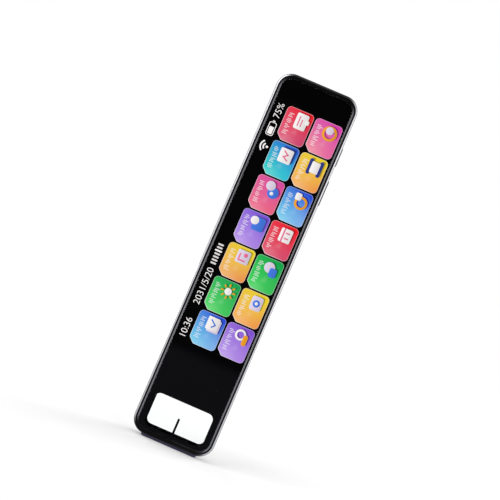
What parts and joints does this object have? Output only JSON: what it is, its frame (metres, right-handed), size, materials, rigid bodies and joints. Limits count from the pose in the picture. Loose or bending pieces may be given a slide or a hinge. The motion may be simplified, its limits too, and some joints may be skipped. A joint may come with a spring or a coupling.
{
  "type": "handheld translator",
  "caption": "Slim handheld scanning translator: long touch screen, see-through scan window, sprung pressure tip, side keys, rear camera and speaker plate.",
  "frame": {"origin": "centre of the body at the level of the pressure tip's end face, where the device meets the page", "axes": "+Z along the body from the pressure tip to the charging end, +Y from the screen to the back, +X to the right as the screen is seen"},
  "size_m": [0.0355, 0.0124, 0.16],
  "materials": {
    "cover_glass": "polished clear cover glass",
    "window_glass": "clear pane",
    "lens_glass": "coated lens glass",
    "print_black": "black printed mask",
    "display": "lit touch display",
    "light_unit": "white light guide",
    "flex": "polyimide ribbon",
    "trim": "polished gunmetal",
    "frame": "anodised satin grey",
    "key": "anodised satin grey",
    "switch": "tinned steel",
    "black_moulding": "black moulded plastic",
    "shell": "fine matte grey",
    "rim": "satin charcoal",
    "badge": "satin greyish purple",
    "mesh": "dust mesh",
    "foam": "foam",
    "speaker": "moulded plastic",
    "lens_ring": "spun black anodised",
    "lens_bezel": "gloss black",
    "camera": "black",
    "tip": "satin purple",
    "spring": "spring steel",
    "circuit_board": "green solder mask",
    "can": "tinned steel",
    "chip": "black epoxy",
    "battery": "foil pouch",
    "tape": "adhesive tape",
    "lead": "insulated wires",
    "mic": "gold plated can"
  },
  "bodies": {
    "housing": {"front_glass": "cover_glass", "rear_window": "window_glass", "lens_glass": "lens_glass", "scan_lens": "lens_glass", "glass_mask": "print_black", "display_panel": "display", "backlight": "light_unit", "scan_leds": "light_unit", "display_flex": "flex", "key_flex": "flex", "scan_flex": "flex", "antenna": "flex", "trim_ring": "trim", "mid_frame": "frame", "power_switch": "switch", "voice_switch": "switch", "nose_switch": "switch", "window_sleeve": "black_moulding", "usb_tongue": "black_moulding", "back_shell": "shell", "window_rim": "rim", "camera_plate": "badge", "speaker_mesh": "mesh", "speaker_gasket": "foam", "speaker_driver": "speaker", "lens_ring": "lens_ring", "lens_bezel": "lens_bezel", "rear_camera": "camera", "scan_camera": "camera", "nose_springs": "spring", "main_board": "circuit_board", "scan_board": "circuit_board", "shield_can": "can", "board_screws": "can", "usb_port": "can", "board_chips": "chip", "battery": "battery", "battery_tape": "tape", "battery_lead": "lead", "microphones": "mic"},
    "power_key": {"power_key": "key", "power_plunger": "black_moulding"},
    "voice_key": {"voice_key": "key", "voice_plunger": "black_moulding"},
    "scan_nose": {"scan_nose": "tip", "nose_lens": "window_glass", "nose_plunger": "black_moulding"}
  },
  "joints": [
    {"name": "power_press", "type": "slide", "parent": "housing", "child": "power_key", "axis": [-1, 0, 0], "range_m": [0, 0.00025], "stiffness_N_per_m": 6000, "springref_m": -0.0002},
    {"name": "voice_press", "type": "slide", "parent": "housing", "child": "voice_key", "axis": [-1, 0, 0], "range_m": [0, 0.00025], "stiffness_N_per_m": 6000, "springref_m": -0.0002},
    {"name": "nose_press", "type": "slide", "parent": "housing", "child": "scan_nose", "axis": [0, 0, 1], "range_m": [0, 0.0007], "stiffness_N_per_m": 1400, "springref_m": -0.0015, "deforming": ["nose_springs"]}
  ]
}
